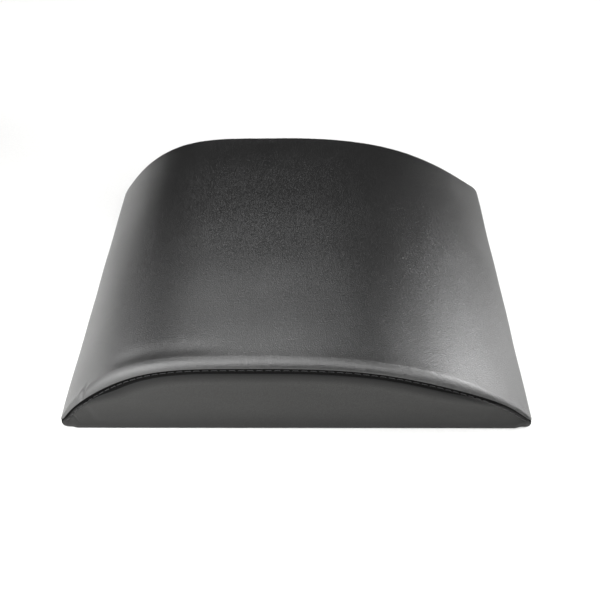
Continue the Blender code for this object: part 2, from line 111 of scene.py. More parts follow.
def outline(count):
    # The mat seen from its end. The arch's inner line is z = R + rise (1 - |u|^n), u from -1 at the left
    # tip to 1 at the right. The way out is its normal, and arcs about the tips' centres carry that on down
    # to the floor, squarer than a circle below the tips: "square" is (|cos|^p + |sin|^p)^(-1/p). Samples
    # are spread by length along the outer line, R outside the inner one, and lie closer round the tips.
    u = np.sin(np.linspace(-pi / 2, pi / 2, sampling["arch"]))
    power = np.where(u < 0, mat["leftExponent"], mat["rightExponent"])
    run = np.where(u < 0, tipX + mat["crownX"], tipX - mat["crownX"])
    rise = mat["height"] - 2 * tipRadius
    share = 1 - np.abs(u) ** power
    angle = np.arctan2(1, np.sign(u) * rise * power * np.abs(u) ** (power - 1) / run)
    arc = np.linspace(0, 1, sampling["tip"])
    left = 1.5 * pi + (angle[0] - 1.5 * pi) * arc[:-1]
    right = angle[-1] - (angle[-1] + pi / 2) * arc[1:]
    x = np.concatenate([left * 0 - tipX, mat["crownX"] + u * run, right * 0 + tipX])
    z = np.concatenate([left * 0, rise * share, right * 0]) + tipRadius
    angle = np.concatenate([left, angle, right])
    share = np.concatenate([left * 0, share, right * 0])
    steps = np.hypot(np.diff(x + tipRadius * np.cos(angle)), np.diff(z + tipRadius * np.sin(angle)))
    along = np.concatenate([[0], np.cumsum(steps)])
    closer = 1 + sampling["closer"] * bell(share[1:], 0, sampling["lowShare"])
    crowded = np.concatenate([[0], np.cumsum(steps * closer)])
    corner = np.where(x < 0, mat["leftTipPower"], mat["rightTipPower"])
    square = (np.abs(np.cos(angle)) ** corner + np.abs(np.sin(angle)) ** corner) ** (-1 / corner)
    square = np.where(np.sin(angle) < 0, square, 1)
    line = {
        "x": x, "z": z, "angle": angle, "share": share, "along": along, "under": share * 0, "square": square,
    }
    spots = np.linspace(0, crowded[-1], count)
    return {key: np.interp(spots, crowded, values) for key, values in line.items()}


def floorLine(count):
    # The straight lower edge between the tips, whose way out is down. "under" fades in from each tip.
    x = tipX * np.sin(np.linspace(-pi / 2, pi / 2, count + 2)[1:-1])
    under = smooth(tipX - np.abs(x), 0, mat["turnsDownOver"])
    still = {"z": tipRadius, "angle": -pi / 2, "share": 0, "square": 1}
    return {"x": x, "along": x, "under": under, **{key: x * 0 + value for key, value in still.items()}}


def part(line, keep):
    return {key: values[keep] for key, values in line.items()}


def backwards(line):
    return part(line, slice(None, None, -1))


def chained(*lines):
    return {key: np.concatenate([line[key] for line in lines]) for key in lines[0]}


def edgeOf(line):
    # The outer line's x and z: the inner one's, plus R along the way out
    return line["x"] + tipRadius * np.cos(line["angle"]), line["z"] + tipRadius * np.sin(line["angle"])


def spread(line, count):
    # The same line with samples evenly far apart
    x, z = edgeOf(line)
    length = np.concatenate([[0], np.cumsum(np.hypot(np.diff(x), np.diff(z)))])
    line = {**line, "angle": np.unwrap(line["angle"])}
    spots = np.linspace(0, length[-1], count)
    return {key: np.interp(spots, length, values) for key, values in line.items()}


def placed(line, inset, depth, side):
    # Points that far inside the outer line and that far behind the plane of the front (-1) or rear (1) end.
    # The rear end's corners are round in plan: beyond a corner's centre the end starts R - sqrt(R^2 -
    # past^2) further in, and the depths up to where the roll starts are squeezed to suit.
    reach = tipRadius * line["square"][:, None] - inset
    x = line["x"][:, None] + np.cos(line["angle"])[:, None] * reach
    z = line["z"][:, None] + np.sin(line["angle"])[:, None] * reach
    if side > 0:
        past = np.clip(np.abs(x) - halfWidth + mat["rearCorner"], 0, mat["rearCorner"])
        ease = mat["rearCorner"] - np.sqrt(mat["rearCorner"] ** 2 - past ** 2)
        depth = ease + depth * (1 - ease / seam["start"])
    return np.stack([x, side * (halfDepth - depth), z], 2)


def rolled(line):
    # With the arch's height h, the roll's radius grows as r0 + (r1 - r0)(1 - exp(-h/w)), and the seam's
    # inset e as e0 + (e1 - e0) smooth(h). The roll turns by acos(1 - e/r) to reach it. That and how far it
    # comes forward fade out towards the tips, so the seam runs out round each corner. Gives radius, turn,
    # set-back and the fade.
    share = np.clip(line["share"], 0, 1)
    grown = 1 - np.exp(-share / seam["grownOver"])
    radius = seam["tipRoll"] + (seam["crownRoll"] - seam["tipRoll"]) * grown
    lower = np.where(line["x"] < mat["crownX"], seam["leftStart"], seam["rightStart"])
    inset = seam["tipInset"] + (seam["crownInset"] - seam["tipInset"]) * smooth(share, lower, seam["fullAt"])
    turned = smooth(edgeOf(line)[1], seam["gone"], seam["runsOutBelow"])
    setBack = seam["tipSetBack"] * (1 - turned) - seam["forward"] * turned * grown
    return radius, np.arccos(1 - inset / radius) * turned, setBack, turned


def linked(name, data):
    made = bpy.data.objects.new(name, data)
    bpy.context.scene.collection.objects.link(made)
    return made


def meshFrom(name, points, faces, finish):
    # One smooth-shaded object from arrays, which rides on the cover
    data = bpy.data.meshes.new(name)
    data.from_pydata(points.reshape(-1, 3), [], faces)
    data.shade_smooth()
    data.materials.append(finish)
    made = linked(name, data)
    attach(made, "cover")
    return made


def gridFaces(rows, columns, closed=False):
    # Quads between neighbours of a grid, as one array. A closed grid joins its last column to its first.
    i, j = np.meshgrid(np.arange(rows - 1), np.arange(columns - (not closed)), indexing="ij")
    k = (j + 1) % columns
    quads = [i * columns + j, (i + 1) * columns + j, (i + 1) * columns + k, i * columns + k]
    return np.stack(quads, 2).reshape(-1, 4)


def tubeFaces(rings, sides):
    # Quads round a tube, and one face over each of its ends
    last = (rings - 1) * sides
    ends = [list(range(sides))[::-1], list(range(last, last + sides))]
    return gridFaces(rings, sides, closed=True).tolist() + ends


def pushed(points, amount):
    # A grid moved along its own normal, the cross product of its two directions
    normal = np.cross(np.gradient(points, axis=0), np.gradient(points, axis=1))
    size = np.linalg.norm(normal, axis=2, keepdims=True)
    return points + normal / np.maximum(size, 1e-12) * amount[..., None]


def skin(made):
    # Gives an open surface the leather's thickness, inwards
    wall = made.modifiers.new("thickness", "SOLIDIFY")
    wall.thickness = mat["leather"]
    wall.offset = -1


def welded(made):
    # Joins the points that coincide in the corners
    mesh = bmesh.new()
    mesh.from_mesh(made.data)
    bmesh.ops.remove_doubles(mesh, verts=mesh.verts, dist=samePoint)
    bmesh.ops.dissolve_degenerate(mesh, edges=mesh.edges, dist=samePoint / 10)
    mesh.to_mesh(made.data)
    mesh.free()


def recalculated(made, *more):
    # Turns the faces of closed shapes outwards, after adding more meshes to them
    mesh = bmesh.new()
    for data in (made.data, *more):
        mesh.from_mesh(data)
    bmesh.ops.recalc_face_normals(mesh, faces=mesh.faces)
    mesh.to_mesh(made.data)
    mesh.free()


def linear(code):
    # An sRGB hex colour as linear light, with alpha 1
    values = [int(code[i:i + 2], 16) / 255 for i in (1, 3, 5)]
    return tuple(v / 12.92 if v <= 0.04045 else ((v + 0.055) / 1.055) ** 2.4 for v in values) + (1,)


def add(tree, kind, sockets=None, **settings):
    # One node: settings go on it, and each socket takes a value or a link from another node's output
    made = tree.nodes.new("ShaderNode" + kind)
    for name, value in settings.items():
        setattr(made, name, value)
    for name, value in (sockets or {}).items():
        if isinstance(value, bpy.types.NodeSocket):
            tree.links.new(value, made.inputs[name])
        else:
            made.inputs[name].default_value = value
    return made


def newMaterial(name, **fixed):
    # A material, its tree and its shader, with the shader's constant sockets set
    made = bpy.data.materials.new(name)
    made.use_nodes = True
    shader = made.node_tree.nodes["Principled BSDF"]
    for socket, value in fixed.items():
        shader.inputs[socket.replace("_", " ")].default_value = value
    return made, made.node_tree, shader


def mixedColour(tree, share, first, second):
    return add(tree, "Mix", {0: share, 6: linear(first), 7: linear(second)}, data_type="RGBA").outputs[2]


def dressed(material, colour, share, rough, bump):
    # Links a colour, a roughness that goes from rough[0] to rough[1] with the share, and the last bump
    made, tree, shader = material
    gloss = add(tree, "MapRange", {"Value": share, "To Min": rough[0], "To Max": rough[1]}).outputs[0]
    for source, socket in ((colour, "Base Color"), (gloss, "Roughness"), (bump.outputs[0], "Normal")):
        tree.links.new(source, shader.inputs[socket])
    return made


# Sizes of the leather's patterns: what bends the cells and how far, how much longer the cells are across
# the mat, the stretch lines, the patches where these show, and the cloudy change of tone and gloss
leatherPattern = {
    "swirl": 0.003846,
    "bend": 0.0009,
    "across": 0.62,
    "line": (0.005882, 0.001429, 0.001429),
    "lineTurn": radians(-4),
    "patch": 0.07692,
    "cloud": 0.02941,
    "creaseShare": 0.32,
    "grainHeight": 0.00016,
    "stretchHeight": 0.0002,
}


def leatherette(name, look):
    # PU-coated fabric, embossed with a pebble grain by a heated roller: small rounded cells with creases
    # between them, soft stretch lines where the foam fills it, and a broad semi-gloss that changes a little
    # from place to place
    material = newMaterial(name, Specular_IOR_Level=look["specular"], IOR=1.5)
    tree, size = material[1], leatherPattern
    place = add(tree, "TexCoord").outputs["Object"]
    swirl = add(tree, "TexNoise", {"Vector": place, "Scale": 1 / size["swirl"], "Detail": 2}).outputs["Color"]
    bent = add(tree, "VectorMath", {0: swirl, 1: (size["bend"],) * 3}, operation="MULTIPLY").outputs[0]
    spot = add(tree, "VectorMath", {0: place, 1: bent}, operation="ADD").outputs[0]
    spot = add(tree, "Mapping", {"Vector": spot, "Scale": (size["across"], 1, 1)}).outputs[0]
    cells = add(tree, "TexVoronoi", {"Vector": spot, "Scale": 1 / look["cell"]}, feature="DISTANCE_TO_EDGE")
    pebble = add(tree, "MapRange", {"Value": cells.outputs["Distance"], "From Max": size["creaseShare"]},
                 interpolation_type="SMOOTHSTEP").outputs[0]
    turned, fine = (0, 0, size["lineTurn"]), tuple(1 / length for length in size["line"])
    lines = add(tree, "Mapping", {"Vector": spot, "Rotation": turned, "Scale": fine}).outputs[0]
    stretch = add(tree, "TexNoise", {"Vector": lines, "Scale": 1, "Detail": 1, "Roughness": 0.4})
    patches = add(tree, "TexNoise", {"Vector": place, "Scale": 1 / size["patch"], "Detail": 2}).outputs["Fac"]
    patchy = add(tree, "MapRange", {"Value": patches, "From Min": 0.25, "From Max": 0.75, "To Min": 0.15},
                 interpolation_type="SMOOTHSTEP").outputs[0]
    drawn = add(tree, "Math", {0: stretch.outputs["Fac"], 1: patchy}, operation="MULTIPLY").outputs[0]
    grain = add(tree, "Bump", {"Height": pebble, "Strength": look["grain"], "Distance": size["grainHeight"]})
    bump = add(tree, "Bump", {"Height": drawn, "Strength": look["stretch"], "Distance": size["stretchHeight"],
                              "Normal": grain.outputs[0]})
    cloud = add(tree, "TexNoise", {
        "Vector": place, "Scale": 1 / size["cloud"], "Detail": 5, "Roughness": 0.6,
    }).outputs["Fac"]
    tone = mixedColour(tree, cloud, look["dark"], look["light"])
    colour = add(tree, "Mix", {0: pebble, 6: linear(look["crease"]), 7: tone}, data_type="RGBA").outputs[2]
    # Painted shade on the end panels: where the attribute says a point is less clear of it, beside the seam
    # and towards the floor, the colour goes towards a dark tone
    if "paintedShade" in look:
        clear = add(tree, "Attribute", attribute_name="clearOfPaintedShade").outputs["Fac"]
        beside = linear(look["paintedShade"])
        colour = add(tree, "Mix", {0: clear, 6: beside, 7: colour}, data_type="RGBA").outputs[2]
    return dressed(material, colour, cloud, (look["glossy"], look["matt"]), bump)


waveScale = 2 * pi / 20  # a wave texture's Scale is this over the distance between its ridges


def polyesterThread(name):
    # Bonded polyester, twisted from fine plies: slanting ridges 0.12 mm apart, with a soft shine
    material = newMaterial(name, Sheen_Weight=0.1, Sheen_Roughness=0.5, Specular_IOR_Level=0.3)
    tree = material[1]
    place = add(tree, "TexCoord").outputs["Object"]
    slant = add(tree, "Mapping", {"Vector": place, "Rotation": (0.6, 0.6, radians(35))}).outputs[0]
    ply = add(tree, "TexWave", {
        "Vector": slant, "Scale": waveScale / 0.00012083, "Distortion": 0.4,
    }).outputs["Fac"]
    bump = add(tree, "Bump", {"Height": ply, "Strength": 0.6, "Distance": 0.00012})
    return dressed(material, mixedColour(tree, ply, "#1a1a1b", "#303031"), ply, (0.62, 0.48), bump)


def wovenTape(name):
    # Polyester zip tape, woven with ribs along it and slanting ones across: matt, with small light thread
    # crests. The real ribs are half as far apart as these, 1 mm and 1.3 mm, which still show from a step
    # away.
    material = newMaterial(name, Sheen_Weight=0.1)
    tree = material[1]
    place = add(tree, "TexCoord").outputs["Object"]
    twill = add(tree, "Mapping", {"Vector": place, "Rotation": (0, radians(45), 0)}).outputs[0]
    along = add(tree, "TexWave", {"Vector": place, "Scale": waveScale / 0.000987, "Distortion": 0.3},
                bands_direction="Z").outputs["Fac"]
    across = add(tree, "TexWave", {"Vector": twill, "Scale": waveScale / 0.001316, "Distortion": 0.2},
                 bands_direction="X").outputs["Fac"]
    weave = add(tree, "Math", {0: along, 1: across}, operation="MULTIPLY").outputs[0]
    bump = add(tree, "Bump", {"Height": weave, "Strength": 0.7, "Distance": 0.0002})
    return dressed(material, mixedColour(tree, weave, "#1c1c1d", "#4a4a4c"), weave, (0.9, 0.72), bump)


def mouldedAcetal(name):
    # Acetal teeth, injection moulded on the tape: smooth black with a faint flow mottling about a
    # millimetre wide
    material = newMaterial(name, IOR=1.48)
    tree = material[1]
    place = add(tree, "TexCoord").outputs["Object"]
    flow = add(tree, "TexNoise", {"Vector": place, "Scale": 1 / 0.001111, "Detail": 3}).outputs["Fac"]
    bump = add(tree, "Bump", {"Height": flow, "Strength": 0.25, "Distance": 0.00008})
    return dressed(material, mixedColour(tree, flow, "#202024", "#333338"), flow, (0.28, 0.42), bump)


def lacqueredZinc(name):
    # Die-cast zinc under black lacquer: glossy, uneven over 1.4 mm, with paler metal showing where edges
    # rub
    material = newMaterial(name)
    tree, shader = material[1:]
    place = add(tree, "TexCoord").outputs["Object"]
    uneven = add(tree, "TexNoise", {"Vector": place, "Scale": 1 / 0.001429, "Detail": 4}).outputs["Fac"]
    edges = add(tree, "NewGeometry").outputs["Pointiness"]
    rubbed = add(tree, "MapRange", {"Value": edges, "From Min": 0.56, "From Max": 0.68}).outputs[0]
    worn = add(tree, "Math", {0: rubbed, 1: uneven}, operation="MULTIPLY").outputs[0]
    lacquer = mixedColour(tree, uneven, "#1b1b1d", "#2c2c30")
    colour = add(tree, "Mix", {0: worn, 6: lacquer, 7: linear("#8d9096")}, data_type="RGBA").outputs[2]
    metal = add(tree, "MapRange", {"Value": worn, "To Min": 0.55, "To Max": 1.0}).outputs[0]
    tree.links.new(metal, shader.inputs["Metallic"])
    bump = add(tree, "Bump", {"Height": uneven, "Strength": 0.15, "Distance": 0.0001})
    return dressed(material, colour, uneven, (0.24, 0.4), bump)


def cutFoam(name):
    # Polyurethane foam cut from a block: matt charcoal, full of open cells about a millimetre across
    material = newMaterial(name, Specular_IOR_Level=0.2)
    tree = material[1]
    place = add(tree, "TexCoord").outputs["Object"]
    cells = add(tree, "TexVoronoi", {"Vector": place, "Scale": 1 / 0.001111}).outputs["Distance"]
    bump = add(tree, "Bump", {"Height": cells, "Strength": 0.8, "Distance": 0.0008}, invert=True)
    return dressed(material, mixedColour(tree, cells, "#1c1d1e", "#323436"), cells, (1.0, 0.88), bump)


topLook = {
    "cell": 0.0011, "grain": 0.55, "stretch": 0.55, "specular": 1.0,
    "dark": "#151515", "light": "#1c1c1c", "crease": "#111111", "glossy": 0.285, "matt": 0.32,
}
# The end panels are the same black leatherette as the top. Their lighter base colour, with a weak specular,
# is painted light: it gives the ends the grey that the pale floor's reflection gives them.
endLookPaintedLight = {
    "cell": 0.0009, "grain": 0.16, "stretch": 0.08, "specular": 0.18,
    # paintedShade is the dark tone of the painted shade beside the seam and towards the floor
    "dark": "#323231", "light": "#393938", "crease": "#2b2b2a", "paintedShade": "#141414",
    "glossy": 0.36, "matt": 0.46,
}
# The turned edge beside each seam: partly the real matt turned edge of the leather, and partly painted shade,
# dark and with little specular, for the shade in the seam's crease under the roll
edgeLookPaintedShade = {
    "cell": 0.0009, "grain": 0.10, "stretch": 0.0, "specular": 0.04,
    "dark": "#0f0f0f", "light": "#151515", "crease": "#0d0d0d", "glossy": 0.70, "matt": 0.90,
}
topLeather = leatherette("puLeatheretteEmbossed", topLook)
endLeatherPaintedLight = leatherette("puLeatheretteSatinPaintedLight", endLookPaintedLight)
edgeLeatherPaintedShade = leatherette("puLeatheretteTurnedEdgePaintedShade", edgeLookPaintedShade)
thread = polyesterThread("polyesterThreadBonded")
tapeCloth = wovenTape("polyesterTapeWoven")
acetal = mouldedAcetal("acetalMoulded")
zinc = lacqueredZinc("zincDieCastLacquered")
foam = cutFoam("polyurethaneFoamCut")
print("materials made:", len(bpy.data.materials))

# The top panel. "cutEdge" is how far its edge is rounded off and how wide, and "tuck" how far the allowance
# starts inside the edge at the tips and at the crown. A wave's values are its count, longest and shortest
# length.
topCover = {
    "stations": 300,
    "edgeRows": 26,
    "seamRows": 7,
    "acrossRows": 92,
    "closerAtSeam": 1.5,
    "cutEdge": (0.0005, 0.0009),
    "tuck": (0.0006, -0.0002),
    "tipAllowance": 0.002,
    "behindEdge": 0.0004,
    "swells": {"height": 0.00035, "seed": 4, "waves": (9, 0.16, 0.05), "clearBy": 0.02},
    "puckers": {"height": 0.00014, "seeds": (11, 12), "waves": (7, 0.024, 0.008), "slant": 0.25,
                "from": (0.0005, 0.005), "fade": 0.012},
    "bead": {"height": 0.0002, "place": 0.0105, "width": 0.0050, "share": (0.25, 0.7)},
    "valley": {"depth": 0.0012, "place": 0.0205, "width": 0.0068,
               "from": (-0.150, -0.130), "to": (-0.090, -0.045)},
    "dent": {"depth": 0.0010, "foot": (0.0480, 0.0005), "top": (0.0600, 0.0130), "width": (0.0020, 0.0034),
             "lip": 0.35, "lipPlace": 0.0040, "lipWidth": 0.0022, "from": (-0.25, 0.1), "to": (0.35, 1.15),
             "clear": (0.0004, 0.0030)},
    "stillBelow": (0.002, 0.014),
}


def topSurface():
    # Along each station the surface comes from behind (d = 10 mm), goes forward, turns round the roll's arc
    # d = b + r - r sin t, inset = r - r cos t, and ends in a rounded cut edge. Rows for the allowance
    # follow inside.
    line = outline(topCover["stations"])
    radius, turn, setBack, turned = (values[:, None] for values in rolled(line))
    straight = seam["start"] - setBack - radius
    length = straight + radius * turn
    fromSeam = length * np.linspace(0, 1, topCover["edgeRows"]) ** topCover["closerAtSeam"]
    around = length - fromSeam
    t = np.maximum(around - straight, 0) / radius
    depth = np.where(around < straight, seam["start"] - around, setBack + radius - radius * np.sin(t))
    inset = radius - radius * np.cos(t)
    easedBy, easedOver = topCover["cutEdge"]
    cutEdge = easedBy * (1 - np.clip(fromSeam / easedOver, 0, 1)) ** 2
    depth, inset = depth + cutEdge * np.sin(t), inset + cutEdge * np.cos(t)
    tipTuck, crownTuck = topCover["tuck"]
    allowance = topCover["tipAllowance"] + (seam["allowance"] - topCover["tipAllowance"]) * turned
    hidden = inset[:, :1] + tipTuck + (crownTuck - tipTuck) * turned + allowance * np.array([1, 0.5, 0])
    below = np.maximum(depth[:, :1] + topCover["behindEdge"], seam["allowanceDepth"] + 0 * hidden)
    endDepth, endInset = np.hstack([below, depth]), np.hstack([hidden, inset])
    fromSeam = np.hstack([hidden * 0, fromSeam])
    y = np.linspace(-1, 1, topCover["acrossRows"] + 2)[1:-1] * (halfDepth - seam["start"])
    middle = np.broadcast_to(y, (len(radius), len(y)))
    points = np.concatenate([
        placed(line, endInset, endDepth, -1),
        placed(line, middle * 0, halfDepth + middle, -1),
        placed(line, endInset, endDepth, 1)[:, ::-1],
    ], 1)
    front = np.hstack([fromSeam, length + halfDepth - seam["start"] + middle, 0 * fromSeam + 1])
    rear = np.hstack([0 * fromSeam + 1, length + halfDepth - seam["start"] - middle, fromSeam[:, ::-1]])
    return pushed(points, unevenTop(line, points, front, rear, turned))


def slanting(across, up, start, stop):
    # How far along a short straight crease each place is, as a share of it, and how far to its side
    start, stop = np.array(start), np.array(stop)
    reach = np.linalg.norm(stop - start)
    ahead = (stop - start) / reach
    far = ((across - start[0]) * ahead[0] + (up - start[1]) * ahead[1]) / reach
    return far, (across - start[0]) * ahead[1] - (up - start[1]) * ahead[0]


def unevenTop(line, points, front, rear, turned):
    # What the sewn cover adds to the arch, as heights along its normal: slow swells, puckers that fade away
    # from the seams, the bead that the allowance pushes up inside each roll, a shallow valley behind the
    # front one, and a short slanting dent where that roll begins by the left corner. Distances are from the
    # two seams.
    along, x, y, z = line["along"][:, None], points[..., 0], points[..., 1], points[..., 2]
    swells, puckers, bead = topCover["swells"], topCover["puckers"], topCover["bead"]
    valley, dent = topCover["valley"], topCover["dent"]
    clear = smooth(np.minimum(front, rear), 0.0, swells["clearBy"])
    amount = swells["height"] * clear * waves(along, y, swells["seed"], *swells["waves"])
    grown = smooth(line["share"], *bead["share"])[:, None]
    for seed, distance in zip(puckers["seeds"], (front, rear)):
        pull = smooth(distance, *puckers["from"]) * np.exp(-distance / puckers["fade"]) * turned
        ripples = waves(along + puckers["slant"] * distance, distance * 0, seed, *puckers["waves"])
        amount = amount + puckers["height"] * pull * ripples
        amount = amount + bead["height"] * grown * bell(distance, bead["place"], bead["width"])
    stretch = smooth(x, *valley["from"]) * (1 - smooth(x, *valley["to"]))
    amount = amount - valley["depth"] * stretch * bell(front, valley["place"], valley["width"])
    far, beside = slanting(along, front, dent["foot"], dent["top"])
    width = dent["width"][0] + (dent["width"][1] - dent["width"][0]) * np.clip(far, 0, 1)
    lips = sum(bell(beside, place, dent["lipWidth"]) for place in (dent["lipPlace"], -dent["lipPlace"]))
    fold = bell(beside, 0, width) - dent["lip"] * lips
    fold = fold * smooth(far, *dent["from"]) * (1 - smooth(far, *dent["to"])) * smooth(front, *dent["clear"])
    return (amount - dent["depth"] * fold) * smooth(z, *topCover["stillBelow"])


def makeTopCover():
    # The rows next to each seam, and those of the allowance behind it, take the matt, dark leather of a
    # turned edge, which is partly painted shade for the seam's crease
    points = topSurface()
    rows, columns = points.shape[:2]
    made = meshFrom("topCover", points, gridFaces(rows, columns), topLeather)
    made.data.materials.append(edgeLeatherPaintedShade)
    place = np.arange(columns - 1)
    dullAndShaded = np.minimum(place, columns - 2 - place) < topCover["seamRows"]
    dullAndShaded = np.broadcast_to(dullAndShaded, (rows - 1, columns - 1)).astype(np.int32)
    made.data.polygons.foreach_set("material_index", dullAndShaded.ravel())
    skin(made)
    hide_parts("top_panel")


makeTopCover()
print("top cover made")

# The end panels. Where a value has several numbers they are: the strip and border at the tips and along the
# arch; for the ridge its height and width; for the crease its depth, place and width; for the groove its
# depth, its distance beyond the stitches and its width; for the sunk stretch its depth and where it starts
# and stops to rise.
endCover = {
    "columns": 450,
    "plane": 0.0015,
    "frontPlane": 0.0019,
    "cornerRadius": 0.0029,
    "lowRadius": 0.0017,
    "floorPlane": 0.0004,
    "floorRadius": 0.0013,
    "first": 0.00005,
    "strip": (0.0022, 0.0080),
    "border": (0.0050, 0.0200),
    "grownBetween": (0.024, 0.060),
    # shade and tipShade: how wide the painted shade beside the turned strip fades out, and the share of that
    # width left at the tips
    "shade": 0.0115,
    "tipShade": 0.3,
    # lowShade and lowShadeBelow: how much painted shade darkens the panel towards the floor, and the heights
    # over which it fades
    "lowShade": 0.5,
    "lowShadeBelow": (0.004, 0.034),
    "stripRows": 22,
    "borderRows": 38,
    "middleRows": 30,
    "flapRows": 4,
    "flap": 0.012,
    "bulge": 0.0010,
    "bulgeFullAt": 0.05,
    "swells": {"height": 0.00018, "seed": 21, "waves": (6, 0.12, 0.04)},
    "flatByZip": (0.030, 0.045),
    "sunk": (0.0007, 0.004, 0.0170),
    "ridge": (0.00030, 0.0007),
    "crease": (0.0010, 0.0012, 0.0016),
    "groove": (0.0010, 0.0026, 0.0017),
    "dimple": 0.00040,
    "stitchRow": 0.0038,
    "pitch": 0.0070,
    "fold": {"depth": 0.0006, "start": (-0.1815, 0.0140), "stop": (-0.1765, 0.0060), "width": 0.0009,
             "from": (-0.3, 0.1), "to": (0.5, 1.1), "within": 0.002},
}


def borderPath(line, distance, side):
    # The end panel from the seam inwards, as a function of the distance travelled. Its heading h starts
    # where the roll stops (0 is straight forward, 90 degrees is along the end) and turns with radius r
    # until it is along the end: d = d0 - r (sin h - sin h0), inset = e0 + r (cos h0 - cos h). Normal to
    # that, the panel is drawn in beside the seam, its turned edge makes a ridge, and each stitch pulls a
    # dimple in that.
    rollRadius, turn, setBack, turned = (values[:, None] for values in rolled(line))
    floor = line["under"][:, None]
    radius = endCover["lowRadius"] + (endCover["cornerRadius"] - endCover["lowRadius"]) * turned
    radius = radius + (endCover["floorRadius"] - radius) * floor
    h0 = np.minimum(turn, pi / 2) * (1 - floor)
    plane = endCover["plane"] + 0 * floor
    if side < 0:
        plane = plane + (endCover["frontPlane"] - plane) * turned
        plane = plane + (endCover["floorPlane"] - plane) * floor
    d0 = plane + radius * (1 - np.sin(h0))
    e0 = rollRadius * (1 - np.cos(turn)) * (1 - floor)
    h = np.clip(h0 + distance / radius, 0, pi / 2)
    past = np.maximum(distance - radius * (pi / 2 - h0), 0)
    before = np.minimum(distance, 0)
    depth = d0 - radius * (np.sin(np.maximum(h, h0)) - np.sin(h0)) - before * floor
    inset = e0 + radius * (np.cos(h0) - np.cos(np.maximum(h, h0))) + past
    hole = 0.5 + 0.5 * np.cos(2 * pi * line["along"] / endCover["pitch"])[:, None]
    row = endCover["stitchRow"]
    ridge, ridgeWidth = endCover["ridge"]
    crease, creasePlace, creaseWidth = endCover["crease"]
    groove, beyond, grooveWidth = endCover["groove"]
    sunk, *rising = endCover["sunk"]
    out = (ridge - endCover["dimple"] * hole ** 2) * bell(distance, row, ridgeWidth)
    out = out - crease * bell(distance, creasePlace, creaseWidth)
    out = out - groove * bell(distance, row + beyond, grooveWidth)
    out = out - sunk * (1 - smooth(distance, *rising))
    out = out * turned * (1 - floor)
    return placed(line, inset - out * np.cos(h), depth - out * np.sin(h), side)


def borderWidth(line):
    # How wide the turned strip is, how far the whole border goes in, and how wide the painted shade beside
    # the strip fades out. All are less where the end is low.
    grown = smooth(edgeOf(line)[1], *endCover["grownBetween"])
    tipStrip, strip = endCover["strip"]
    tipBorder, border = endCover["border"]
    fade = endCover["shade"] * (endCover["tipShade"] + (1 - endCover["tipShade"]) * grown)
    border = tipBorder + (border - tipBorder) * grown * rolled(line)[3]
    return (tipStrip + (strip - tipStrip) * grown)[:, None], border[:, None], fade[:, None]


def endSurface(side):
    # Columns join a place on the seam above to one on the lower edge, and all close in the two lower corners.
    # Between them the panel swells as sin(pi t)^2, and the front one has a small slanting fold by its left
    # corner. The second result is how clear each point is of painted shade: the colour is darkened beside the
    # seam, where the roll overhangs the panel, and towards the floor.
    count = endCover["columns"]
    whole = outline(6 * count)
    leftCorner, rightCorner = 1.25 * pi, -0.25 * pi
    upper = part(whole, (whole["angle"] <= leftCorner) & (whole["angle"] >= rightCorner))
    lowLeft, lowRight = part(whole, whole["angle"] >= leftCorner), part(whole, whole["angle"] <= rightCorner)
    lower = chained(backwards(lowLeft), floorLine(4 * count), backwards(lowRight))
    upper, lower = spread(upper, count), spread(lower, count)
    strip, width, fade = borderWidth(upper)
    first, rows, borderRows = endCover["first"], endCover["stripRows"], endCover["borderRows"]
    inner = np.linspace(0, 1, rows)
    outer = np.linspace(0, 1, borderRows - rows + 1)[1:]
    fromSeam = np.hstack([first + strip * inner, first + strip + (width - strip) * outer])
    above = borderPath(upper, fromSeam, side)
    flap = -(endCover["flap"] - endCover["floorPlane"] - endCover["floorRadius"]) * lower["under"][:, None]
    reach = first + borderWidth(lower)[1] * np.linspace(0, 1, borderRows)
    under = np.hstack([flap * np.linspace(1, 0.1, endCover["flapRows"]), reach])
    below = borderPath(lower, under, side)[:, ::-1]
    t = np.linspace(0, 1, endCover["middleRows"] + 2)[None, 1:-1, None]
    middle = above[:, -1:] * (1 - t) + below[:, :1] * t
    height = np.linalg.norm(above[:, -1] - below[:, 0], axis=1)[:, None]
    swells = endCover["swells"]
    ripples = waves(middle[..., 0], middle[..., 2], swells["seed"] + side, *swells["waves"])
    arch = np.sin(pi * t[..., 0])
    swell = endCover["bulge"] * arch ** 2 * np.clip(height / endCover["bulgeFullAt"], 0, 1)
    swell = swell + swells["height"] * arch * ripples
    if side > 0:
        swell = swell * smooth(middle[..., 2], *endCover["flatByZip"])
    middle[..., 1] += side * swell
    points = np.concatenate([above, middle, below], 1)
    if side < 0:
        fold = endCover["fold"]
        far, beside = slanting(points[..., 0], points[..., 2], fold["start"], fold["stop"])
        onEnd = points[..., 1] < -halfDepth + endCover["plane"] + fold["within"]
        lasting = smooth(far, *fold["from"]) * (1 - smooth(far, *fold["to"]))
        points[..., 1] += fold["depth"] * bell(beside, 0, fold["width"]) * lasting * onEnd
    # Painted shade beside the seam, where the roll overhangs the panel: 1 is none
    clear = np.ones(points.shape[:2])
    clear[:, :borderRows] -= rolled(upper)[3][:, None] * (1 - smooth((fromSeam - strip) / fade))
    # Painted shade towards the floor, where the panel meets it
    clear *= 1 - endCover["lowShade"] * (1 - smooth(points[..., 2], *endCover["lowShadeBelow"]))
    return points, clear


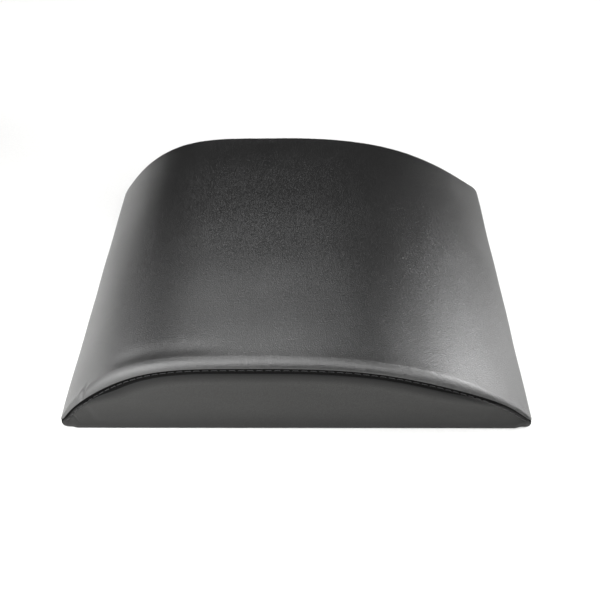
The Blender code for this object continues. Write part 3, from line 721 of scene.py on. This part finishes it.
def makeEnd(name, side, node):
    points, clear = endSurface(side)
    count, rows = points.shape[:2]
    faces = gridFaces(count, rows)
    made = meshFrom(name, points, faces if side > 0 else faces[:, ::-1], endLeatherPaintedLight)
    made.data.materials.append(edgeLeatherPaintedShade)
    # The strip by the seam takes the turned-edge leather: the real turned edge, and painted shade in the
    # seam's crease
    turnedEdgeAndShade = np.broadcast_to(np.arange(rows - 1) < endCover["stripRows"] - 1, (count - 1, rows - 1))
    made.data.polygons.foreach_set("material_index", turnedEdgeAndShade.astype(np.int32).ravel())
    # How clear each point is of the painted shade, for the material
    made.data.attributes.new("clearOfPaintedShade", "FLOAT", "POINT").data.foreach_set("value", clear.ravel())
    welded(made)
    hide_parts(node)
    return made


skin(makeEnd("frontEndCover", -1, "front_end_panel"))
print("front end cover made")

# The zip's opening in the rear end. Each hem first steps in by "hemStart", back and down, and "easeLines"
# and "grooveLines" are where lines are added beside the cut and about the stitches.
zipSize = {
    "height": 0.018,
    "window": 0.011,
    "hemEase": 0.0008,
    "hemRound": 0.7,
    "hemStart": (0.0006, 0.00015),
    "hemDepth": 0.0024,
    "easeLines": (0.15, 0.35, 0.6, 1),
    "stitchFromEdge": 0.0025,
    "groove": 0.0003,
    "grooveWidth": 0.0004,
    "grooveLines": (-0.0009, -0.0005, -0.0002, 0.0002, 0.0005, 0.0009),
    "skinDepth": 0.0016,
}


def cutAt(made, edge, way):
    # Keeps what lies above (1) or below (-1) a height, adds lines beside the cut, rounds the cut edge back
    # with ease (1 - s)^2, presses the stitch groove in, and turns the edge inwards as a hem
    mesh = bmesh.new()
    mesh.from_mesh(made.data)
    ease, row = zipSize["hemEase"], zipSize["stitchFromEdge"]
    lines = [ease * share for share in zipSize["easeLines"]] + [row + step for step in zipSize["grooveLines"]]
    for distance in [0] + lines:
        whole = mesh.verts[:] + mesh.edges[:] + mesh.faces[:]
        place, outwards = (0, 0, edge + way * distance), (0, 0, -way)
        bmesh.ops.bisect_plane(mesh, geom=whole, plane_co=place, plane_no=outwards, clear_outer=distance == 0)
    rim = [e for e in mesh.edges if e.is_boundary and all(abs(v.co.z - edge) < samePoint for v in e.verts)]
    for step, drop in (zipSize["hemStart"], (zipSize["hemDepth"], 0)):
        grown = bmesh.ops.extrude_edge_only(mesh, edges=rim)["geom"]
        fresh = [g for g in grown if isinstance(g, bmesh.types.BMVert)]
        bmesh.ops.translate(mesh, verts=fresh, vec=(0, -step, -way * drop))
        edges = [g for g in grown if isinstance(g, bmesh.types.BMEdge)]
        rim = [e for e in edges if e.is_boundary and set(e.verts) <= set(fresh)]
    mesh.to_mesh(made.data)
    mesh.free()
    place = np.empty(len(made.data.vertices) * 3)
    made.data.vertices.foreach_get("co", place)
    place = place.reshape(-1, 3)
    beside = way * (place[:, 2] - edge)
    outside = place[:, 1] > halfDepth - endCover["plane"] - zipSize["skinDepth"]
    dip = ease * zipSize["hemRound"] * np.clip(1 - beside / ease, 0, 1) ** 2 * (beside > -0.0001)
    dip = dip + zipSize["groove"] * bell(beside, row, zipSize["grooveWidth"])
    place[:, 1] -= dip * outside
    made.data.vertices.foreach_set("co", place.ravel())
    made.data.update()


windowTop, windowBottom = (zipSize["height"] + way * zipSize["window"] / 2 for way in (1, -1))
for name, node, edge, way in (
    ("rearEndCover", "rear_end_panel", windowTop, 1),
    ("rearZipStripCover", "rear_zip_strip", windowBottom, -1),
):
    made = makeEnd(name, 1, node)
    cutAt(made, edge, way)
    skin(made)
print("rear end covers made")

baseCover = {
    "edge": 0.0008,
    "edgeWidth": 0.0012,
    "rows": 90,
    "columns": 110,
    "swells": {"height": 0.0001, "seed": 31, "waves": (6, 0.09, 0.03), "clearBy": 0.02},
}


def makeBase():
    # A flat sheet on the floor whose edges turn up: z = ease (1 - s)^2 within a millimetre of the edge
    low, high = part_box("base_panel")
    u = np.sin(np.linspace(-pi / 2, pi / 2, baseCover["columns"]))[:, None]
    v = np.sin(np.linspace(-pi / 2, pi / 2, baseCover["rows"]))[None, :]
    x, y = u * high.x + 0 * v, v * high.y + 0 * u
    fromEdge = np.minimum(high.x - np.abs(x), high.y - np.abs(y))
    swells = baseCover["swells"]
    ripples = 1 + waves(x, y, swells["seed"], *swells["waves"])
    z = baseCover["edge"] * np.clip(1 - fromEdge / baseCover["edgeWidth"], 0, 1) ** 2
    z = z + swells["height"] * smooth(fromEdge, 0, swells["clearBy"]) * ripples
    points = np.stack([x, y, z], 2)
    made = meshFrom("baseCover", points, gridFaces(*x.shape)[:, ::-1], topLeather)
    skin(made)
    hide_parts("base_panel")


makeBase()
print("base made")

# The foam, and the channel cut in its rear end for the zip
foamCore = {
    "clearance": 0.0003,
    "end": 0.0045,
    "ease": 0.010,
    "easedRings": 8,
    "straightRings": 12,
    "straightFrom": 0.03,
    "stations": 240,
    "floorStations": 60,
    "channelReach": 0.0052,
    "channelDepth": 0.0079,
}


def makeFoam():
    # The outline, inside the cover, carried from end to end: near each end it shrinks by the ease of a
    # quarter circle
    around = spread(outline(10 * foamCore["stations"]), foamCore["stations"])
    line = chained(around, backwards(floorLine(foamCore["floorStations"])))
    steps = np.linspace(0, pi / 2, foamCore["easedRings"])
    ease, start = foamCore["ease"], mat["leather"] + foamCore["clearance"]
    straight = np.linspace(foamCore["straightFrom"], halfDepth, foamCore["straightRings"])
    depth = np.concatenate([foamCore["end"] + ease * (1 - np.cos(steps)), straight])
    inset = np.concatenate([start + ease * (1 - np.sin(steps)), straight * 0 + start])
    flat = np.zeros((len(line["x"]), 1))
    rings = [placed(line, flat + e, flat + d, -1)[:, 0] for d, e in zip(depth, inset)]
    rings += [ring * (1, -1, 1) for ring in rings[-2::-1]]
    points = np.stack(rings)
    faces = [face[::-1] for face in tubeFaces(*points.shape[:2])]
    made = meshFrom("foamCore", points, faces, foam)
    low, high = zipSize["height"] - foamCore["channelReach"], zipSize["height"] + foamCore["channelReach"]
    deep = halfDepth - foamCore["channelDepth"]
    corners = [(x, y, z) for x in (-halfWidth, halfWidth) for y in (deep, halfDepth) for z in (low, high)]
    sides = [(0, 1, 3, 2), (4, 6, 7, 5), (0, 4, 5, 1), (2, 3, 7, 6), (0, 2, 6, 4), (1, 5, 7, 3)]
    data = bpy.data.meshes.new("channel")
    data.from_pydata(corners, [], sides)
    tool = linked("channel", data)
    cut = made.modifiers.new("channel", "BOOLEAN")
    cut.operation, cut.object, cut.solver = "DIFFERENCE", tool, "EXACT"
    whole = bpy.data.meshes.new_from_object(made.evaluated_get(bpy.context.evaluated_depsgraph_get()))
    made.modifiers.clear()
    made.data = whole
    bpy.data.objects.remove(tool)
    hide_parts("foam_core")


makeFoam()
print("foam core made")

stitch = {
    "length": 0.0052,
    "radius": 0.00036,
    "lift": 0.00012,
    "dive": 0.0007,
    "rings": 9,
    "sides": 7,
    "frontAbove": 0.009,
    "rearAbove": 0.040,
    "zipOverrun": 0.002,
}


def repeated(name, shape, faces, places, frames, finish, slot):
    # Copies of one small closed shape: each copy's points are place + frame applied to the shape
    count, size = len(places), len(shape)
    points = places[:, None] + np.einsum("nij,pj->npi", frames, shape)
    cells = [[k + copy * size for k in face] for copy in range(count) for face in faces]
    return meshFrom(name, points, cells, finish)


def stitchShape():
    # A thread from one hole to the next: its height is lift - dive |t|^5 and its radius r sqrt(1 - |t|^6),
    # so it is flat on top and dives into the holes at both ends
    t = np.linspace(-1, 1, stitch["rings"])
    angle = np.linspace(0, 2 * pi, stitch["sides"], endpoint=False)
    radius = stitch["radius"] * np.sqrt(np.clip(1 - np.abs(t) ** 6, 0.05, 1))
    ring = np.stack([np.zeros_like(angle), np.cos(angle), np.sin(angle)], 1)
    points = ring[None] * radius[:, None, None]
    points[..., 0] += (t * stitch["length"] / 2)[:, None]
    points[..., 2] += (stitch["lift"] - stitch["dive"] * np.abs(t) ** 5)[:, None]
    return points.reshape(-1, 3), tubeFaces(len(t), len(angle))


def stitchRow(name, path, out, length, node):
    # Stitches one pitch apart by the length given along a path of points, between the holes that lie at
    # whole pitches, each turned to the path and to the surface's way out
    def at(spots, values):
        return np.stack([np.interp(spots, length, values[:, k]) for k in range(3)], 1)

    pitch, step = endCover["pitch"], 0.001
    spots = (np.arange(np.ceil(length[0] / pitch), np.floor(length[-1] / pitch)) + 0.5) * pitch
    places = at(spots, path)
    ahead = at(spots + step, path) - places
    along = ahead / np.linalg.norm(ahead, axis=1, keepdims=True)
    across = np.cross(at(spots, out), along)
    across /= np.linalg.norm(across, axis=1, keepdims=True)
    frames = np.stack([along, across, np.cross(along, across)], 2)
    made = repeated(name, *stitchShape(), places, frames, thread, "thread")
    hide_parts(node)


def archStitches(name, side, lowest, node):
    # The row runs along the ridge of the turned edge, and its way out is the cross product of the row's
    # direction and the way across it
    line = outline(1500)
    line = part(line, edgeOf(line)[1] > lowest)
    row, beside = np.full((len(line["x"]), 1), endCover["stitchRow"]), 0.0009
    path = borderPath({**line, "along": line["along"] * 0 + endCover["pitch"] / 2}, row, side)[:, 0]
    across = (borderPath(line, row + beside, side) - borderPath(line, row - beside, side))[:, 0]
    out = np.cross(across, np.gradient(path, axis=0)) * side
    stitchRow(name, path, out / np.linalg.norm(out, axis=1, keepdims=True), line["along"], node)


def zipStitches(name, node, height):
    low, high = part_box(node)
    x = np.linspace(low.x - stitch["zipOverrun"], high.x + stitch["zipOverrun"], 400)
    surface = halfDepth - endCover["plane"] - zipSize["groove"]
    path = np.stack([x, x * 0 + surface, x * 0 + height], 1)
    stitchRow(name, path, path * 0 + (0, 1, 0), x, node)


archStitches("frontArchStitches", -1, stitch["frontAbove"], "front_topstitch")
archStitches("rearArchStitches", 1, stitch["rearAbove"], "rear_topstitch")
zipStitches("zipStitchesUpper", "zip_topstitch_upper", windowTop + zipSize["stitchFromEdge"])
zipStitches("zipStitchesLower", "zip_topstitch_lower", windowBottom - zipSize["stitchFromEdge"])
print("stitches made")

# How far inside the cover the tape's ends lie, its points round and along, and how blunt its edges and
# faces are
tape = {"inset": 0.0042, "around": 36, "stations": 160, "edgePower": 0.3, "facePower": 0.5}


def blunt(values, power):
    # sign(v) |v|^p, which makes a circle's cosine and sine a blunt section's
    return np.sign(values) * np.abs(values) ** power


def makeTape(name, node):
    # A flat band with a rounded edge: z across it, thickness following a blunt ellipse. Its ends follow the
    # arch.
    low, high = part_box(node)
    line = outline(600)
    inside = tipRadius - tape["inset"]
    x, z = line["x"] + inside * np.cos(line["angle"]), line["z"] + inside * np.sin(line["angle"])
    reach = []
    for keep in (x < -0.5 * halfWidth, x > 0.5 * halfWidth):
        order = np.argsort(z[keep])
        reach.append(np.interp(high.z, z[keep][order], x[keep][order]))
    v = np.linspace(0, 2 * pi, tape["around"], endpoint=False)
    z = (low.z + high.z) / 2 + (high.z - low.z) / 2 * blunt(np.cos(v), tape["edgePower"])
    y = (low.y + high.y) / 2 + (high.y - low.y) / 2 * blunt(np.sin(v), tape["facePower"])
    x = np.linspace(*reach, tape["stations"])[:, None]
    points = np.stack([x + 0 * v, y + 0 * x, z + 0 * x], 2)
    made = meshFrom(name, points, tubeFaces(len(x), len(v)), tapeCloth)
    recalculated(made)
    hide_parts(node)


tooth = {
    "pitch": 0.003, "width": 0.0012, "depth": 0.0024, "foot": 0.0029, "overlap": 0.0008,
    "rings": 8, "sides": 8,
}
cord = {
    "place": 0.0022, "radius": 0.0007, "endRadius": 0.0005, "endLength": 0.0002, "flatness": 0.85,
    "sides": 10,
}


def makeTeeth(name, node, way):
    # Each tooth is carried from its foot over the tape's edge to its head, an eight-sided blunt section
    # that narrows at the neck. The cord that the feet grip runs behind them all.
    low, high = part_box(node)
    middle = (low.y + high.y) / 2
    t = np.linspace(0, 1, tooth["rings"])
    z = way * (tooth["foot"] - (tooth["foot"] + tooth["overlap"]) * t)
    headAndFoot = 0.78 + 0.22 * bell(t, 0.85, 0.2) + 0.2 * bell(t, 0.0, 0.25)
    wide = tooth["width"] / 2 * headAndFoot * np.sqrt(1 - 0.55 * t ** 8)
    roundedEnds = np.sqrt(1 - 0.5 * t ** 8 - 0.4 * (1 - t) ** 8)
    deep = tooth["depth"] / 2 * (0.85 + 0.15 * bell(t, 0.35, 0.4)) * roundedEnds
    angle = np.linspace(0, 2 * pi, tooth["sides"], endpoint=False) + pi / tooth["sides"]
    x, y = blunt(np.cos(angle), 0.6) * wide[:, None], blunt(np.sin(angle), 0.6) * deep[:, None]
    points = np.stack([x, y, z[:, None] + 0 * angle], 2).reshape(-1, 3)
    last = high.x - tooth["width"] / 2 - (tooth["pitch"] / 2 if way < 0 else 0)
    x = np.arange(last, low.x + tooth["width"] / 2, -tooth["pitch"])
    places = np.stack([x, x * 0 + middle, x * 0 + zipSize["height"]], 1)
    upright = np.tile(np.eye(3), (len(x), 1, 1))
    faces = tubeFaces(tooth["rings"], tooth["sides"])
    made = repeated(name, points, faces, places, upright, acetal, "zip_teeth")
    recalculated(made, cordBead(low, high, middle, zipSize["height"] + way * cord["place"]))
    made.data.shade_smooth()
    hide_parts(node)


def cordBead(low, high, y, z):
    # A straight cord, a little flattened, with closed and rounded ends
    angle = np.linspace(0, 2 * pi, cord["sides"], endpoint=False)
    x = np.array([low.x, low.x + cord["endLength"], high.x - cord["endLength"], high.x])[:, None]
    radius = np.array([cord["endRadius"], cord["radius"], cord["radius"], cord["endRadius"]])[:, None]
    across, up = radius * np.cos(angle), radius * cord["flatness"] * np.sin(angle)
    points = np.stack([x + 0 * angle, y + across, z + up], 2)
    data = bpy.data.meshes.new("cordBead")
    data.from_pydata(points.reshape(-1, 3), [], tubeFaces(4, cord["sides"]))
    return data


# The slider's plate, the depth and width of the space that holds the post between its plates, and how far
# its edges, the tab's and the stops' are rounded
slider = {"plate": 0.0012, "gap": 0.003, "post": 0.0021, "rounded": 0.00022, "othersRounded": 0.0002}


def withoutPost(mesh, low):
    # Takes away the sides of the post between the slider's plates and closes the plates over it, as the
    # rigid rows of teeth can't part to let it through
    plate = low.y + slider["plate"]
    sides = [
        face for face in mesh.faces
        if abs(face.normal.y) < 0.5 and plate < face.calc_center_median().y < plate + slider["gap"]
        and all(abs(v.co.z - zipSize["height"]) < slider["post"] / 2 for v in face.verts)
    ]
    bmesh.ops.delete(mesh, geom=sides, context="FACES")
    bmesh.ops.holes_fill(mesh, edges=[e for e in mesh.edges if e.is_boundary])


def eased(name, node, width, body):
    # A copy of the node's shape with its flat faces joined and its edges rounded by a bevel
    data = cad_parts[node].data.copy()
    data.materials.clear()
    data.materials.append(zinc)
    made = linked(name, data)
    mesh = bmesh.new()
    mesh.from_mesh(data)
    bmesh.ops.remove_doubles(mesh, verts=mesh.verts, dist=samePoint)
    if node == "zip_slider":
        withoutPost(mesh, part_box(node)[0])
    bmesh.ops.dissolve_limit(mesh, angle_limit=radians(2), verts=mesh.verts, edges=mesh.edges)
    mesh.to_mesh(data)
    mesh.free()
    data.shade_smooth()
    bevel = made.modifiers.new("rounded", "BEVEL")
    bevel.width, bevel.segments, bevel.limit_method, bevel.angle_limit = width, 3, "ANGLE", radians(25)
    bevel.harden_normals = True
    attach(made, body)
    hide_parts(node)


for place, way in (("Upper", 1), ("Lower", -1)):
    makeTape("zipTape" + place, "zip_tape_" + place.lower())
    makeTeeth("zipTeeth" + place, "zip_teeth_" + place.lower(), way)
    eased("zipTopStop" + place, "zip_top_stop_" + place.lower(), slider["othersRounded"], "cover")
eased("zipBottomStop", "zip_bottom_stop", slider["othersRounded"], "cover")
eased("zipSlider", "zip_slider", slider["rounded"], "slider")
eased("zipPullTab", "zip_pull_tab", slider["othersRounded"], "pull_tab")
print("zip made")

# The photograph's frame is 600 by 600, and its sensor is taken as 36 mm wide
view = {
    "place": (0.01923, -0.57824, 0.53672),
    "frame": 600,
    "sensor": 36,
    "focal": 818.89,
    "down": radians(43.106),
    "turn": radians(-1.738),
    "roll": radians(-1.327),
}


def placeCamera():
    # Ahead, right and up follow from the bearing and the angle down, and a roll about ahead turns the last
    # two
    camera = linked("camera", bpy.data.cameras.new("camera"))
    camera.data.lens = view["focal"] * view["sensor"] / view["frame"]
    camera.data.sensor_width = view["sensor"]
    camera.data.clip_start = 0.01
    down, turn, roll = view["down"], view["turn"], view["roll"]
    ahead = Vector((sin(turn) * cos(down), cos(turn) * cos(down), -sin(down)))
    right = Vector((cos(turn), -sin(turn), 0))
    up = right.cross(ahead)
    right, up = right * cos(roll) + up * sin(roll), up * cos(roll) - right * sin(roll)
    turned = Matrix((right, up, -ahead)).transposed().to_4x4()
    camera.matrix_world = Matrix.Translation(view["place"]) @ turned
    bpy.context.scene.camera = camera


# Small softboxes close to the mat, as on a table-top set. Each has its bearing, elevation and radiance:
# bearing 0 is behind the mat (+Y), 90 to its right (+X), 180 in front.
softboxes = {
    "distance": 0.55,
    "middleHeight": 0.03,
    "wide": 0.30,
    "high": 0.23,
    "lamps": {
        "rightKey": (81, 28, 8.4),
        "rightLow": (79, 9, 2.4),
        "rightHigh": (92, 52, 1.5),
        "rightRear": (60, 38, 0.5),
        "frontRight": (112, 31, 4.3),
        "frontRightLow": (145, 10, 0.6),
        "frontRightInner": (142, 31, 2.6),
        "front": (174, 33, 2.2),
        "frontLow": (212, 10, 3.0),
        "frontHigh": (180, 55, 2.5),
        "frontLeftHigh": (212, 52, 2.2),
        "frontLeftInner": (208, 31, 4.0),
        "frontLeft": (238, 30, 4.0),
        "frontLeftLow": (242, 10, 3.3),
        "leftLow": (274, 12, 1.7),
        "left": (278, 31, 2.3),
        "leftHigh": (305, 57, 1.6),
        "topFront": (180, 77, 2.4),
        "topLeft": (280, 74, 1.7),
        "topRear": (355, 71, 2.9),
    },
}
backdrop = {"wide": 2.0, "deep": 0.4, "watts": 3.8, "spread": radians(30), "place": (-0.25, 0.58, 1.2)}
paper = {"reach": 3.0, "below": 0.0003, "fibre": 0.0025}
worldStrength = 0.05


def areaLamp(name, wide, high, watts):
    # A lit rectangle that the camera doesn't see
    lamp = bpy.data.lights.new(name, "AREA")
    lamp.shape, lamp.size, lamp.size_y, lamp.energy = "RECTANGLE", wide, high, watts
    made = linked(name, lamp)
    made.visible_camera = False
    return made


def softbox(name, bearing, elevation, radiance):
    # A lamp that faces the mat. Its power is pi times its area times its radiance.
    wide, high = softboxes["wide"], softboxes["high"]
    made = areaLamp(name, wide, high, pi * wide * high * radiance)
    a, e = radians(bearing), radians(elevation)
    way = Vector((sin(a) * cos(e), cos(a) * cos(e), sin(e)))
    made.location = way * softboxes["distance"] + Vector((0, 0, softboxes["middleHeight"]))
    made.rotation_euler = way.to_track_quat("Z", "Y").to_euler()


def backdropLamp():
    # A wide lamp with a narrow grid, straight down on the floor behind the mat, so the paper stays pale
    # there
    made = areaLamp("backdropLamp", backdrop["wide"], backdrop["deep"], backdrop["watts"])
    made.data.spread = backdrop["spread"]
    made.location = backdrop["place"]


def makeFloor():
    # Seamless white paper: matt, with a faint fibre tone
    made, tree, shader = newMaterial("paperBackdrop", Roughness=0.9, Specular_IOR_Level=0.2)
    place = add(tree, "TexCoord").outputs["Object"]
    fibre = add(tree, "TexNoise", {"Vector": place, "Scale": 1 / paper["fibre"], "Detail": 2}).outputs["Fac"]
    tree.links.new(mixedColour(tree, fibre, "#dadad9", "#e2e2e1"), shader.inputs["Base Color"])
    reach, below = paper["reach"], paper["below"]
    corners = [(x * reach, y * reach, -below) for x, y in ((-1, -1), (1, -1), (1, 1), (-1, 1))]
    data = bpy.data.meshes.new("floor")
    data.from_pydata(corners, [], [(0, 1, 2, 3)])
    data.materials.append(made)
    linked("floor", data)


def lightWorld():
    world = bpy.data.worlds.new("studio")
    bpy.context.scene.world = world
    world.use_nodes = True
    background = world.node_tree.nodes["Background"]
    background.inputs[0].default_value = linear("#ffffff")
    background.inputs[1].default_value = worldStrength


placeCamera()
makeFloor()
for name, (bearing, elevation, radiance) in softboxes["lamps"].items():
    softbox(name, bearing, elevation, radiance)
backdropLamp()
lightWorld()
bpy.context.scene.view_settings.view_transform = "Standard"
print("camera, light and floor placed")
